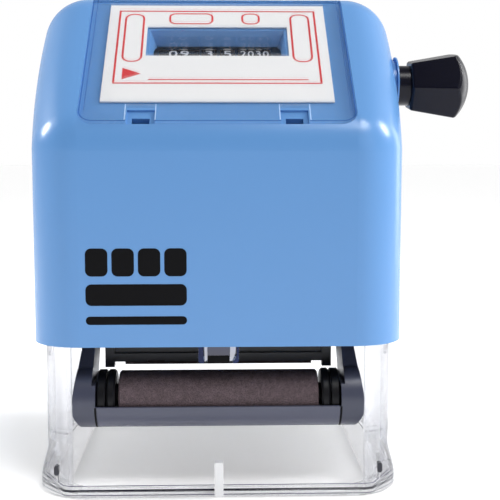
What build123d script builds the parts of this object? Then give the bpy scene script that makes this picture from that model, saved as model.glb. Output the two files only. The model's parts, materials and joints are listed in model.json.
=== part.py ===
from build123d import *
import os
from math import atan2, cos, degrees, hypot, radians, sin, tan

os.makedirs("parts", exist_ok=True)

# A self inking message dater: a clear base frame stands on the paper, and the
# coloured housing with the dater head slides down over it. Two arms swing an
# ink roller across the text plate on the way down.
# Origin: centre of the footprint, on the paper. +X to the knob, -Y to the user.

# ---- housing ----
TRAVEL = 24.1            # stroke of the head, text face to paper
SIDE_HALF_X = 40.2       # half width across the bowed sides
SIDE_BOW = 2.9           # how much narrower the sides are at the corners
HOUSING_HALF_Y = 33.0
HOUSING_BOTTOM_Z = 31.6
HOUSING_ROUND = 10.5     # rounding of every outer edge of the housing
HOUSING_WALL = 1.8
PANEL_WALL = 4.2
PANEL_SLOPE = 40.0       # degrees from level
PANEL_Y = -20.5          # datum line across the sloped panel
PANEL_Z = 86.87
CREST_Y = 3.0            # where the panel meets the top
REAR_TOP_Y = 22.0
REAR_TOP_Z = 104.6
REAR_SHOULDER_Z = 88.0

# ---- panel: cover, card and date window, along the slope from the datum ----
COVER_HALF_X = 28.3
COVER_FRONT_U = -14.7
COVER_REAR_U = 29.4
COVER_THICK = 1.0
COVER_ROUND = 3.2
COVER_GAP = 0.2
COVER_RIM = 1.1          # the rim that stiffens the underside of the cover
COVER_RIM_DEPTH = 1.3
HINGE_R = 0.4
HINGE_DROP = 1.1         # hinge axis below the panel
HINGE_PIN = 1.0          # how far each hinge pin stands out of the cover
HINGE_ROOM = 1.15        # pocket behind the hinge axis
CARD_HALF_X = 24.3
CARD_FRONT_U = -7.0
CARD_REAR_U = 28.5
CARD_THICK = 0.3
WINDOW_HALF_X = 15.6
WINDOW_LOW_U = 9.05
WINDOW_HIGH_U = 20.0
WINDOW_DEPTH = 5.0
WINDOW_TAPER = 2.0
NOTCH_X = 15.7
NOTCH_HALF = 2.9
NOTCH_DEPTH = 5.5
HOLLOW_DEPTH = 0.5
SLOT_LENGTH = 3.3
SLOT_HALF = 1.8          # half width of the slots under the notches

# ---- base frame ----
SLIDE_GAP = 0.35         # housing to base frame
FRAME_WALL = 1.7
FRAME_TOP_Z = 46.0
FRONT_GAP_HALF_X = 30.5
RING_THICK = 1.5         # flat foot ring
RING_HALF_X = 32.0
RING_FRONT_Y = -30.0
RING_REAR_Y = 28.0
FOOT_HALF_Y = 33.4
FOOT_FLARE = 1.4
FOOT_FULL_Z = 2.8        # the foot is at its widest below this
FOOT_TOP_Z = 7.9
FOOT_CHAMFER = 0.5
MARK_HALF = 0.9          # upright mark at the middle of the front
MARK_DEPTH = 2.0
MARK_TOP_Z = 7.3
PORT_X = 33.4            # small upright hole in each front corner of the foot
PORT_Z = 4.2
PORT_LENGTH = 2.2
PORT_WIDTH = 1.1
LEDGE_HALF_Y = 3.5
LEDGE_Z = 40.0           # the return springs stand here
LEDGE_THICK = 2.0
LEDGE_REACH = 2.4
WEB_DROP = 8.0
GUIDE_PIN_R = 0.9
PIN_DEPTH = 2.0
PIN_HEIGHT = 8.0

# ---- head ----
HEAD_HALF_X = 24.75      # outside of the head's side plates
HEAD_FRONT_Y = -17.5
HEAD_REAR_Y = 7.5
PLATE_THICK = 2.0
RIM_BOTTOM_Z = 25.4
RIM_STEP_Z = 27.2
RIM_TOP_Z = 30.1
RIM_WALL = 2.0
RIM_STEP = 1.1
RIM_FOOT = 1.2           # how far the corner feet reach below the rim
RUBBER_THICK = 2.2
RELIEF = 0.8
RUBBER_HALF_X = 20.7
RUBBER_FRONT_Y = -14.0
RUBBER_REAR_Y = 5.4
TEXT_PLATE_THICK = 1.6
YOKE_Z = 74.0
YOKE_THICK = 2.5
YOKE_HALF_X = 36.8
YOKE_FRONT_Y = -16.0
YOKE_REAR_Y = 22.5
SCREW_X = 32.2
SCREW_FRONT_Y = -12.5
SCREW_REAR_Y = 18.5
SCREW_R = 1.08
SCREW_LENGTH = 7.5
SCREW_HEAD_R = 2.2
SCREW_HEAD = 1.5
BOSS_R = 3.0
TIE_R = 1.2
TIE_Y = 4.4
TIE_HEIGHTS = (36.0, 50.0)
SPRING_X = 32.2
SPRING_COIL_R = 1.6
SPRING_WIRE_R = 0.3
SPRING_TURNS = 14

# ---- dater ----
DRUM_Y = -3.0            # axis of the date wheels and the knob
DRUM_Z = 86.0
DRUM_R = 8.0             # outside of a band on its wheel
BAND_THICK = 0.9
NOSE_R = 3.2             # outside of a band at the printing end
RUN_GAP = 0.3            # between neighbouring moving faces
FIT_GAP = 0.06           # radial running clearance of a shaft
WEB_HALF = 0.6
KEY_THICK = 1.1
SHAFT_R = 3.0
KEY_R = 3.8
KEY_LENGTH = 1.6
SHAFT_LEFT_X = -18.0
CLIP_X = 28.6
CLIP_GROOVE = 0.6
COLLAR_X = 29.4
STEM_X = 31.5
STEM_R = 4.5
BUSH_R = 5.6
BUSH_FLANGE_R = 6.4
BUSH_FLANGE = 0.3
KNOB_X = 43.5            # inner end of the knob
KNOB_TIP_X = 57.1
KNOB_SIDES = 6
KNOB_TURN = 7.5          # degrees, one edge a little below level
KNOB_SMALL_R = 6.1
KNOB_LARGE_R = 8.7
KNOB_DOME_R = 10.6
KNOB_EDGE = 0.7

# name, left edge, width, place of the drive web, knob slide that engages it
BANDS = [
    ("month", -13.1, 9.0, -8.6, 5.0),
    ("day_tens", -3.6, 3.4, -1.9, 2.5),
    ("day_units", 0.5, 3.4, 2.2, 0.0),
    ("year", 4.6, 7.3, 9.4, -2.5),
]
BAND_STACK_HALF = 13.3

# ---- ink roller and its arms ----
ARM_PIVOT_Y = -6.5
ARM_PIVOT_Z = 42.0
ROLLER_Y = -24.5
ROLLER_Z = 19.5
ROLLER_R = 5.45
ROLLER_HALF = 20.9
FLANGE_R = 5.7
FLANGE_X = 21.6
FLANGE_END_X = 23.4
BEARING_X = 23.6
BEARING_END_X = 25.3
CORE_R = 2.6
AXLE_R = 1.5
ARM_INNER_X = 26.4
ARM_OUTER_X = 28.9
ARM_TOP_R = 4.0
CHEEK_TOP_Z = 23.0
WING_TOP_Z = 31.0
FOOT_INNER_X = 25.6
FOOT_OUTER_X = 30.3
ARM_END_R = 6.5
AXLE_END_X = 28.9
PIN_R = 1.6
PIN_HEAD = 0.8
TRAY_R = 6.5
TRAY_WALL = 0.55
TRAY_TOP_ANGLE = 9.0     # degrees below level, seen from the roller's axis
TRAY_LOW_ANGLE = 76.0
TRAY_GROOVE = 0.3

# ---- latch under the middle of the housing's front edge ----
LATCH_HALF_X = 4.2
LATCH_DEPTH = 2.4
LATCH_DROP = 3.8
PAWL_HALF_X = 2.25
PAWL_HEIGHT = 1.6
PAWL_DEPTH = 1.5

# ---- worked out from the above ----
slope = radians(PANEL_SLOPE)
outward = Vector(0, -sin(slope), cos(slope))
panel_plane = Plane(origin=(0, PANEL_Y, PANEL_Z), x_dir=(1, 0, 0), z_dir=outward)
side_radius = (HOUSING_HALF_Y**2 + SIDE_BOW**2) / (2 * SIDE_BOW)
frame_inset = HOUSING_WALL + SLIDE_GAP
inner_inset = frame_inset + FRAME_WALL
pocket_depth = COVER_THICK + CARD_THICK + 0.25
hinge_half_x = COVER_HALF_X + HINGE_PIN
window_mid_u = (WINDOW_LOW_U + WINDOW_HIGH_U) / 2
window_length = WINDOW_HIGH_U - WINDOW_LOW_U
nose_z = TRAVEL + NOSE_R
text_plate_z = TRAVEL + RUBBER_THICK
plate_inner_x = HEAD_HALF_X - PLATE_THICK
arm_reach = hypot(ROLLER_Y - ARM_PIVOT_Y, ROLLER_Z - ARM_PIVOT_Z)
arm_lean = degrees(atan2(ROLLER_Y - ARM_PIVOT_Y, ARM_PIVOT_Z - ROLLER_Z))
latch_y = HOUSING_WALL - HOUSING_HALF_Y
latch_z = HOUSING_BOTTOM_Z - LATCH_DROP
screw_places = [(x, y) for x in (-SCREW_X, SCREW_X) for y in (SCREW_FRONT_Y, SCREW_REAR_Y)]
CLEAR = 1.0              # how far a cutting shape runs past what it cuts


def save(shape, name):
    export_step(shape, f"parts/{name}.step")


def save_group(solids, name):
    save(Compound(children=solids), name)


def box(x0, x1, y0, y1, z0, z1):
    centre = ((x0 + x1) / 2, (y0 + y1) / 2, (z0 + z1) / 2)
    return Pos(*centre) * Box(x1 - x0, y1 - y0, z1 - z0)


def rod_x(radius, x0, x1, y, z):
    return Pos((x0 + x1) / 2, y, z) * Rot(0, 90, 0) * Cylinder(radius, x1 - x0)


def rod_z(radius, x, y, z0, z1):
    return Pos(x, y, (z0 + z1) / 2) * Cylinder(radius, z1 - z0)


def on_panel(shape, x, u, lift=0.0):
    """Place a shape drawn at the origin on the panel, u mm above its datum."""
    return panel_plane * Pos(x, u, lift) * shape


def prism_x(points, half):
    """Extrude an outline in the YZ plane to both sides of the middle."""
    face = make_face(Polyline([(0, y, z) for y, z in points], close=True))
    return extrude(face, half, dir=(1, 0, 0), both=True)


def prism_y(points, y0, y1):
    """Extrude an outline in the XZ plane from y0 to y1."""
    face = make_face(Polyline([(x, y0, z) for x, z in points], close=True))
    return extrude(face, y1 - y0, dir=(0, 1, 0))


def belt_outline(radius_top, radius_nose, x0, x1, y, z_top, z_nose):
    """A belt round two circles, one above the other, as a solid slab in x."""
    lean = (radius_top - radius_nose) / (z_top - z_nose)
    side = (1 - lean**2) ** 0.5
    outline = Polyline([
        (x0, y - radius_nose * side, z_nose - radius_nose * lean),
        (x0, y - radius_top * side, z_top - radius_top * lean),
        (x0, y + radius_top * side, z_top - radius_top * lean),
        (x0, y + radius_nose * side, z_nose - radius_nose * lean),
    ], close=True)
    slab = extrude(make_face(outline), x1 - x0, dir=(1, 0, 0))
    slab += rod_x(radius_top, x0, x1, y, z_top)
    slab += rod_x(radius_nose, x0, x1, y, z_nose)
    return slab


# ---- plan outline shared by the housing, the frame and the foot ----
def side_x(y, inset):
    """Half width of the bowed side at y, moved in by the inset."""
    radius = side_radius - inset
    return SIDE_HALF_X - side_radius + (radius**2 - y**2) ** 0.5


def plan(inset, half_y=None, rounded=True):
    """Four-sided outline with bowed sides, as a face at z = 0."""
    end_y = HOUSING_HALF_Y - inset if half_y is None else half_y
    middle = side_x(0, inset)
    end = side_x(end_y, inset)
    outline = [
        Line((-end, -end_y), (end, -end_y)),
        ThreePointArc((end, -end_y), (middle, 0), (end, end_y)),
        Line((end, end_y), (-end, end_y)),
        ThreePointArc((-end, end_y), (-middle, 0), (-end, -end_y)),
    ]
    face = make_face(outline)
    return fillet(face.vertices(), HOUSING_ROUND - inset) if rounded else face


def plan_block(inset, z0, z1, half_y=None):
    return extrude(Pos(0, 0, z0) * plan(inset, half_y), z1 - z0)


# ---- housing: one moulded shell, open below ----
def housing_block(inset, panel_inset, bottom):
    """The outer form of the housing, made smaller by the given insets."""
    half_y = HOUSING_HALF_Y - inset
    drop = panel_inset / cos(slope)

    def panel_height(y):
        return PANEL_Z - drop + (y - PANEL_Y) * tan(slope)

    points = [
        (-half_y, bottom),
        (-half_y, panel_height(-half_y)),
        (CREST_Y, panel_height(CREST_Y)),
        (REAR_TOP_Y - inset, REAR_TOP_Z - panel_inset),
        (half_y, REAR_SHOULDER_Z - panel_inset),
        (half_y, bottom),
    ]
    block = prism_x(points, SIDE_HALF_X + CLEAR)
    sides = extrude(plan(inset, rounded=False), points[2][1] + CLEAR - bottom)
    block &= Pos(0, 0, bottom) * sides
    rim_height = bottom + CLEAR
    edges = block.edges().filter_by(lambda e: e.bounding_box().max.Z > rim_height)
    return fillet(edges, HOUSING_ROUND - inset)


def housing():
    outer = housing_block(0, 0, HOUSING_BOTTOM_Z)
    inner = housing_block(HOUSING_WALL, PANEL_WALL, HOUSING_BOTTOM_Z - CLEAR)
    shell = outer - inner
    shell -= cover_shape(COVER_GAP, CLEAR + COVER_THICK, -pocket_depth, COVER_REAR_U + HINGE_ROOM)
    shell -= hinge_rod(HINGE_R + FIT_GAP, hinge_half_x + COVER_GAP)
    # collar round the funnel of the date window
    collar = Box(2 * WINDOW_HALF_X + 3, window_length + 3, WINDOW_DEPTH - pocket_depth)
    shell += on_panel(collar, 0, window_mid_u, -(WINDOW_DEPTH + pocket_depth) / 2)
    mouth = Rectangle(2 * WINDOW_HALF_X, window_length)
    throat = Rectangle(2 * (WINDOW_HALF_X - WINDOW_TAPER), window_length - 2 * WINDOW_TAPER)
    funnel = loft([Pos(0, 0, CLEAR - COVER_THICK) * mouth, Pos(0, 0, -WINDOW_DEPTH) * throat])
    funnel += Pos(0, 0, -WINDOW_DEPTH) * extrude(throat, CLEAR, both=True)
    shell -= on_panel(funnel, 0, window_mid_u)
    # room for the date wheels behind the window
    shell -= rod_x(DRUM_R + RUN_GAP, -WINDOW_HALF_X, WINDOW_HALF_X, DRUM_Y, DRUM_Z)
    # finger hollows under the cover's notches, each with a slot at its front
    for side in (-1, 1):
        middle_u = COVER_FRONT_U + NOTCH_DEPTH / 2
        hollow = Box(2 * NOTCH_HALF, NOTCH_DEPTH, 2 * HOLLOW_DEPTH)
        shell -= on_panel(hollow, side * NOTCH_X, middle_u, -pocket_depth)
        slot = Box(2 * SLOT_HALF, SLOT_LENGTH, 2 * PANEL_WALL)
        middle_u = COVER_FRONT_U + SLOT_LENGTH / 2
        shell -= on_panel(slot, side * NOTCH_X, middle_u, -pocket_depth - PANEL_WALL)
    # bosses for the yoke screws
    for x, y in screw_places:
        boss = rod_z(BOSS_R, x, y, YOKE_Z + YOKE_THICK, REAR_TOP_Z)
        shell += boss & housing_block(CLEAR, CLEAR, HOUSING_BOTTOM_Z)
        shell -= rod_z(SCREW_R + 0.02, x, y, YOKE_Z, YOKE_Z + SCREW_LENGTH + RUN_GAP)
    return shell - rod_x(BUSH_R, plate_inner_x, SIDE_HALF_X + CLEAR, DRUM_Y, DRUM_Z)


def knob_bush():
    bush = rod_x(BUSH_R - 0.02, SIDE_HALF_X - HOUSING_WALL, SIDE_HALF_X, DRUM_Y, DRUM_Z)
    bush += rod_x(BUSH_FLANGE_R, SIDE_HALF_X, SIDE_HALF_X + BUSH_FLANGE, DRUM_Y, DRUM_Z)
    return bush - rod_x(STEM_R + FIT_GAP, STEM_X, KNOB_X, DRUM_Y, DRUM_Z)


# ---- base frame: clear, open in front and below ----
def base_frame():
    foot_inset = frame_inset - FOOT_FLARE
    foot = plan_block(foot_inset, 0, FOOT_FULL_Z, FOOT_HALF_Y)
    foot = chamfer(foot.edges().group_by(Axis.Z)[0], FOOT_CHAMFER)
    foot += loft([
        Pos(0, 0, FOOT_FULL_Z) * plan(foot_inset, FOOT_HALF_Y),
        Pos(0, 0, FOOT_TOP_Z) * plan(frame_inset),
    ], ruled=True)
    shell = foot + plan_block(frame_inset, FOOT_FULL_Z, FRAME_TOP_Z)
    shell -= plan_block(inner_inset, RING_THICK, FRAME_TOP_Z + CLEAR)
    ring_mid_y = (RING_FRONT_Y + RING_REAR_Y) / 2
    ring = RectangleRounded(2 * RING_HALF_X, RING_REAR_Y - RING_FRONT_Y, HOUSING_ROUND - inner_inset)
    shell -= Pos(0, ring_mid_y, 0) * extrude(ring, 2 * RING_THICK, both=True)
    # the front is open above the foot ring
    gap = FRONT_GAP_HALF_X
    inner_front_y = -HOUSING_HALF_Y + inner_inset
    shell -= box(-gap, gap, -HOUSING_HALF_Y - 2, inner_front_y + CLEAR, RING_THICK, FRAME_TOP_Z + CLEAR)
    inner_x = side_x(0, inner_inset)
    for side in (-1, 1):
        # ledge for a guide pin and its spring, on a web
        low, high = sorted((side * (SPRING_X - LEDGE_REACH), side * (inner_x + RUN_GAP)))
        shell += box(low, high, -LEDGE_HALF_Y, LEDGE_HALF_Y, LEDGE_Z - LEDGE_THICK, LEDGE_Z)
        shell += box(low, high, -MARK_HALF, MARK_HALF, LEDGE_Z - WEB_DROP, LEDGE_Z - LEDGE_THICK)
        shell -= rod_z(GUIDE_PIN_R, side * SPRING_X, 0, LEDGE_Z - PIN_DEPTH, LEDGE_Z)
        shell -= Pos(side * PORT_X, -HOUSING_HALF_Y, PORT_Z) * corner_port()
    shell += box(-MARK_HALF, MARK_HALF, -FOOT_HALF_Y, MARK_DEPTH - FOOT_HALF_Y, CLEAR, MARK_TOP_Z)
    return shell


def corner_port():
    """An upright hole with round ends through the front corner of the foot."""
    outline = Rot(90, 0, 0) * SlotOverall(PORT_LENGTH, PORT_WIDTH, rotation=90)
    return extrude(outline, HOUSING_ROUND, both=True)


def guide_pin(side):
    return rod_z(GUIDE_PIN_R, side * SPRING_X, 0, LEDGE_Z - PIN_DEPTH, LEDGE_Z + PIN_HEIGHT)


def return_spring(side):
    low = LEDGE_Z + SPRING_WIRE_R
    high = YOKE_Z - SPRING_WIRE_R
    coil = Helix(pitch=(high - low) / SPRING_TURNS, height=high - low, radius=SPRING_COIL_R)
    coil = Pos(side * SPRING_X, 0, low) * coil
    wire = Plane(origin=coil @ 0, z_dir=coil % 0) * Circle(SPRING_WIRE_R)
    return sweep(wire, path=coil)


# ---- head: yoke, side plates, rim, text plate ----
def yoke_plate():
    z0, z1 = YOKE_Z, YOKE_Z + YOKE_THICK
    plate = box(-YOKE_HALF_X, YOKE_HALF_X, YOKE_FRONT_Y, YOKE_REAR_Y, z0, z1)
    opening_x = plate_inner_x - CLEAR
    opening_y = DRUM_R + 4
    plate -= box(-opening_x, opening_x, DRUM_Y - opening_y, DRUM_Y + opening_y, z0 - 1, z1 + 1)
    for side in (-1, 1):
        plate -= side_plate_slab(side)
    for x, y in screw_places:
        plate -= rod_z(SCREW_R + 0.2, x, y, z0 - 1, z1 + 1)
    return plate


def side_plate_slab(side):
    ear = DRUM_R - 2.2
    rear = HEAD_REAR_Y - 1
    points = [
        (HEAD_FRONT_Y, RIM_TOP_Z),
        (HEAD_FRONT_Y, RIM_TOP_Z + 8),
        (HEAD_FRONT_Y + 2, YOKE_Z - 12),
        (DRUM_Y - ear, DRUM_Z - 6),
        (DRUM_Y - ear, DRUM_Z),
        (DRUM_Y + ear, DRUM_Z),
        (rear, YOKE_Z - 4),
        (rear, RIM_TOP_Z),
    ]
    slab = prism_x(points, PLATE_THICK / 2)
    slab += rod_x(ear, -PLATE_THICK / 2, PLATE_THICK / 2, DRUM_Y, DRUM_Z)
    return Pos(side * (plate_inner_x + PLATE_THICK / 2), 0, 0) * slab


def side_plate(side):
    span = YOKE_HALF_X
    slab = side_plate_slab(side)
    slab -= rod_x(KEY_R + RUN_GAP, -span, span, DRUM_Y, DRUM_Z)
    slab -= rod_x(PIN_R, -span, span, ARM_PIVOT_Y, ARM_PIVOT_Z)
    for z in TIE_HEIGHTS:
        slab -= rod_x(TIE_R, -span, span, TIE_Y, z)
    return slab


def tie_rods():
    return [rod_x(TIE_R, -HEAD_HALF_X, HEAD_HALF_X, TIE_Y, z) for z in TIE_HEIGHTS]


def head_rim():
    """Open frame round the text plate, stepped in front, with four corner feet."""
    x, front, rear = HEAD_HALF_X, HEAD_FRONT_Y, HEAD_REAR_Y
    rim = box(-x, x, front, rear, RIM_BOTTOM_Z, RIM_TOP_Z)
    rim -= box(-plate_inner_x, plate_inner_x, front + RIM_WALL, rear - RIM_WALL,
               RIM_BOTTOM_Z - 1, RIM_TOP_Z + 1)
    rim -= box(-plate_inner_x, plate_inner_x, front - 1, front + RIM_STEP, RIM_STEP_Z, RIM_TOP_Z + 1)
    rim -= box(-15.6, -11.8, front - 1, front + RIM_WALL, RIM_BOTTOM_Z - 1, RIM_BOTTOM_Z + 0.3)
    foot_z = RIM_BOTTOM_Z - RIM_FOOT
    for x0 in (-x, plate_inner_x):
        for y0 in (front, rear - RIM_WALL):
            rim += box(x0, x0 + PLATE_THICK, y0, y0 + RIM_WALL, foot_z, RIM_BOTTOM_Z)
    return rim


def band_slot(z0, z1):
    half_x = BAND_STACK_HALF + RUN_GAP
    half_y = NOSE_R + 2 * RUN_GAP
    return box(-half_x, half_x, DRUM_Y - half_y, DRUM_Y + half_y, z0, z1)


def text_plate():
    z0, z1 = text_plate_z, text_plate_z + TEXT_PLATE_THICK
    plate = box(-plate_inner_x, plate_inner_x, HEAD_FRONT_Y + RIM_WALL, HEAD_REAR_Y - RIM_WALL, z0, z1)
    return plate - band_slot(z0 - 1, z1 + 1)


def text_rubber():
    """A sheet with a raised border, a signature line and short raised words."""
    x, front, rear = RUBBER_HALF_X, RUBBER_FRONT_Y, RUBBER_REAR_Y
    relief_top = TRAVEL + RELIEF
    line = 1.0
    border = box(-x, x, front, rear, TRAVEL, relief_top)
    border -= box(line - x, x - line, front + line, rear - line, TRAVEL - 1, relief_top + 1)
    rubber = box(-x, x, front, rear, relief_top, text_plate_z) + border
    rubber += box(-15, 19, rear - 2.4, rear - 1.8, TRAVEL, relief_top)
    for word_x in (-16.5, -5.5, 5.5, 16.5):
        rubber += box(word_x - 2.4, word_x + 2.4, front + 2, front + 4.4, TRAVEL, relief_top)
    return rubber - band_slot(TRAVEL - 1, text_plate_z + 1)


# ---- dater: four bands on four wheels ----
def date_band(left, width):
    right = left + width
    band = belt_outline(DRUM_R, NOSE_R, left, right, DRUM_Y, DRUM_Z, nose_z)
    inner = belt_outline(DRUM_R - BAND_THICK, NOSE_R - BAND_THICK, left - 1, right + 1,
                         DRUM_Y, DRUM_Z, nose_z)
    return band - inner


def cross_bar(radius, thickness, x0, x1):
    """Four ribs round the shaft axis, made from two crossed bars."""
    bar = Box(x1 - x0, 2 * radius, thickness)
    return Pos((x0 + x1) / 2, DRUM_Y, DRUM_Z) * (bar + Rot(90, 0, 0) * bar)


def date_wheel(left, width, web_x):
    right = left + width
    wheel = rod_x(DRUM_R - BAND_THICK - RUN_GAP, left, right, DRUM_Y, DRUM_Z)
    wheel -= rod_x(KEY_R + RUN_GAP, left - 1, right + 1, DRUM_Y, DRUM_Z)
    web = rod_x(KEY_R + 1, web_x - WEB_HALF, web_x + WEB_HALF, DRUM_Y, DRUM_Z)
    web -= rod_x(SHAFT_R + FIT_GAP, left, right, DRUM_Y, DRUM_Z)
    web -= cross_bar(KEY_R + 0.15, KEY_THICK + RUN_GAP, left, right)
    return wheel + web


def band_bridge():
    """Carries the bands' lower ends, from side plate to side plate."""
    radius = NOSE_R - BAND_THICK - 0.25
    half = BAND_STACK_HALF
    front, rear = DRUM_Y - radius, DRUM_Y + radius
    nose = rod_x(radius, -half, half, DRUM_Y, nose_z)
    post = box(-half, half, front, rear, nose_z, nose_z + 6)
    bar = box(-plate_inner_x, plate_inner_x, front, rear, nose_z + 1.5, nose_z + 6)
    return nose + post + bar


# ---- knob, shaft and selector collar ----
def knob_shaft():
    shaft = rod_x(SHAFT_R, SHAFT_LEFT_X, STEM_X, DRUM_Y, DRUM_Z)
    shaft += rod_x(STEM_R, STEM_X, KNOB_X + 0.5, DRUM_Y, DRUM_Z)
    for _, _, _, web_x, engaged in BANDS:
        middle = web_x - engaged
        shaft += cross_bar(KEY_R, KEY_THICK, middle - KEY_LENGTH / 2, middle + KEY_LENGTH / 2)
    groove = rod_x(SHAFT_R + 1, CLIP_X, CLIP_X + CLIP_GROOVE, DRUM_Y, DRUM_Z)
    groove -= rod_x(SHAFT_R - 0.6, CLIP_X, CLIP_X + CLIP_GROOVE, DRUM_Y, DRUM_Z)
    return shaft - groove


def retaining_clip():
    x0, x1 = CLIP_X + 0.02, CLIP_X + CLIP_GROOVE - 0.02
    ring = rod_x(SHAFT_R + 1.2, x0, x1, DRUM_Y, DRUM_Z)
    ring -= rod_x(SHAFT_R - 0.58, x0 - 1, x1 + 1, DRUM_Y, DRUM_Z)
    return ring - box(x0 - 1, x1 + 1, DRUM_Y - 1.7, DRUM_Y + 1.7, DRUM_Z, DRUM_Z + DRUM_R)


def knob():
    """Six tapered flats under a domed end."""
    def section(x, radius):
        place = Plane(origin=(x, DRUM_Y, DRUM_Z), x_dir=(0, 1, 0), z_dir=(1, 0, 0))
        return place * RegularPolygon(radius, KNOB_SIDES, rotation=KNOB_TURN)

    body = loft([section(KNOB_X, KNOB_SMALL_R), section(KNOB_TIP_X, KNOB_LARGE_R)])
    body &= Pos(KNOB_TIP_X - KNOB_DOME_R, DRUM_Y, DRUM_Z) * Sphere(KNOB_DOME_R)
    body = fillet(body.edges(), KNOB_EDGE)
    return body - rod_x(STEM_R, KNOB_X - 1, KNOB_X + 0.5, DRUM_Y, DRUM_Z)


def selector_collar():
    x0, x1 = COLLAR_X, STEM_X - RUN_GAP / 2
    collar = rod_x(SHAFT_R + 1.4, x0, x1, DRUM_Y, DRUM_Z)
    collar += box(x0, x1, DRUM_Y - 2, DRUM_Y + 2, YOKE_Z + YOKE_THICK + RUN_GAP, DRUM_Z - 2)
    return collar - rod_x(SHAFT_R + FIT_GAP, x0 - 1, x1 + 1, DRUM_Y, DRUM_Z)


# ---- cover and card on the sloped panel ----
def cover_shape(grow, top, bottom, rear_u):
    """The cover's outline between two heights on the panel, rounded in front."""
    front_u = COVER_FRONT_U - grow
    outline = Rectangle(2 * (COVER_HALF_X + grow), rear_u - front_u)
    outline = fillet(outline.vertices().group_by(Axis.Y)[0], COVER_ROUND + grow)
    return on_panel(extrude(outline, top - bottom), 0, (rear_u + front_u) / 2, bottom)


def hinge_rod(radius, half_x):
    rod = Rot(0, 90, 0) * Cylinder(radius, 2 * half_x)
    return on_panel(rod, 0, COVER_REAR_U, -HINGE_DROP)


def panel_cover():
    """Clear plate with a stiffening rim below and a hinge pin at each rear corner."""
    plate = cover_shape(0, 0, -COVER_THICK, COVER_REAR_U)
    rim_rear = COVER_REAR_U - 3 * HINGE_R
    plate += cover_shape(0, 0, -COVER_RIM_DEPTH, rim_rear)
    plate -= cover_shape(-COVER_RIM, -COVER_THICK, -COVER_RIM_DEPTH - CLEAR, COVER_REAR_U)
    plate += hinge_rod(HINGE_R, hinge_half_x)
    for side in (-1, 1):
        notch = Box(2 * NOTCH_HALF, 2 * NOTCH_DEPTH, 4 * COVER_THICK)
        plate -= on_panel(notch, side * NOTCH_X, COVER_FRONT_U)
    return plate


def index_card():
    middle_u = (CARD_FRONT_U + CARD_REAR_U) / 2
    card = Pos(0, middle_u, 0) * Box(2 * CARD_HALF_X, CARD_REAR_U - CARD_FRONT_U, CARD_THICK)
    card -= Pos(0, window_mid_u, 0) * Box(2 * WINDOW_HALF_X, window_length, 2)
    return on_panel(card, 0, 0, -COVER_THICK - CARD_THICK / 2 - 0.05)


# ---- ink roller, its cradle and arms ----
def arm(side):
    """A flat lever from its pivot on the head to a cheek at the end of the roller."""
    x0, x1 = FOOT_INNER_X, FOOT_OUTER_X
    outline = Polyline([
        (x0, -ARM_TOP_R, 0),
        (x0, -ARM_TOP_R - 1, -arm_reach),
        (x0, ARM_TOP_R + 1, -arm_reach),
        (x0, ARM_TOP_R, 0),
    ], close=True)
    lever = extrude(make_face(outline), x1 - x0, dir=(1, 0, 0))
    lever += rod_x(ARM_TOP_R, x0, x1, 0, 0) + rod_x(ARM_END_R, x0, x1, 0, -arm_reach)
    lever = Pos(0, ARM_PIVOT_Y, ARM_PIVOT_Z) * Rot(arm_lean, 0, 0) * lever
    # front view: thin above, a thick cheek with a chamfered toe below
    top_z = ARM_PIVOT_Z + ARM_END_R
    toe_z = ROLLER_Z - ARM_END_R - CLEAR
    lever &= prism_y([
        (FOOT_INNER_X, toe_z),
        (FOOT_INNER_X, CHEEK_TOP_Z),
        (ARM_INNER_X, CHEEK_TOP_Z),
        (ARM_INNER_X, top_z),
        (ARM_OUTER_X, top_z),
        (ARM_OUTER_X, WING_TOP_Z),
        (FOOT_OUTER_X, ROLLER_Z + 1),
        (FOOT_OUTER_X, ROLLER_Z - 3),
        (FOOT_OUTER_X - 1.8, toe_z),
    ], -HOUSING_HALF_Y, HOUSING_HALF_Y)
    lever -= rod_x(PIN_R + FIT_GAP, x0, x1, ARM_PIVOT_Y, ARM_PIVOT_Z)
    lever -= rod_x(AXLE_R, x0, AXLE_END_X + 0.1, ROLLER_Y, ROLLER_Z)
    return lever if side > 0 else mirror(lever, Plane.YZ)


def pivot_pins():
    """A shouldered, headed pin through each side plate."""
    head_x = ARM_OUTER_X + 0.2
    pin = rod_x(PIN_R, plate_inner_x, head_x, ARM_PIVOT_Y, ARM_PIVOT_Z)
    pin += rod_x(PIN_R + 1, head_x, head_x + PIN_HEAD, ARM_PIVOT_Y, ARM_PIVOT_Z)
    pin += rod_x(PIN_R + 1, HEAD_HALF_X, ARM_INNER_X - 0.1, ARM_PIVOT_Y, ARM_PIVOT_Z)
    return [mirror(pin, Plane.YZ), pin]


def roller_axle():
    return rod_x(AXLE_R, -AXLE_END_X, AXLE_END_X, ROLLER_Y, ROLLER_Z)


def roller_core():
    core = rod_x(CORE_R, -FLANGE_END_X, FLANGE_END_X, ROLLER_Y, ROLLER_Z)
    for x0, x1 in ((-FLANGE_END_X, -FLANGE_X), (FLANGE_X, FLANGE_END_X)):
        disc = rod_x(FLANGE_R, x0, x1, ROLLER_Y, ROLLER_Z)
        core += chamfer(disc.edges(), 0.4)
    return core - rod_x(AXLE_R + FIT_GAP, -AXLE_END_X, AXLE_END_X, ROLLER_Y, ROLLER_Z)


def roller_bearing(side):
    """Fixed end block between an arm and the turning roller."""
    x0, x1 = sorted((side * BEARING_X, side * BEARING_END_X))
    block = chamfer(rod_x(FLANGE_R, x0, x1, ROLLER_Y, ROLLER_Z).edges(), 0.2)
    x2, x3 = sorted((side * BEARING_END_X, side * FOOT_INNER_X))
    block += rod_x(CORE_R, x2, x3, ROLLER_Y, ROLLER_Z)
    return block - rod_x(AXLE_R, -AXLE_END_X, AXLE_END_X, ROLLER_Y, ROLLER_Z)


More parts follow.
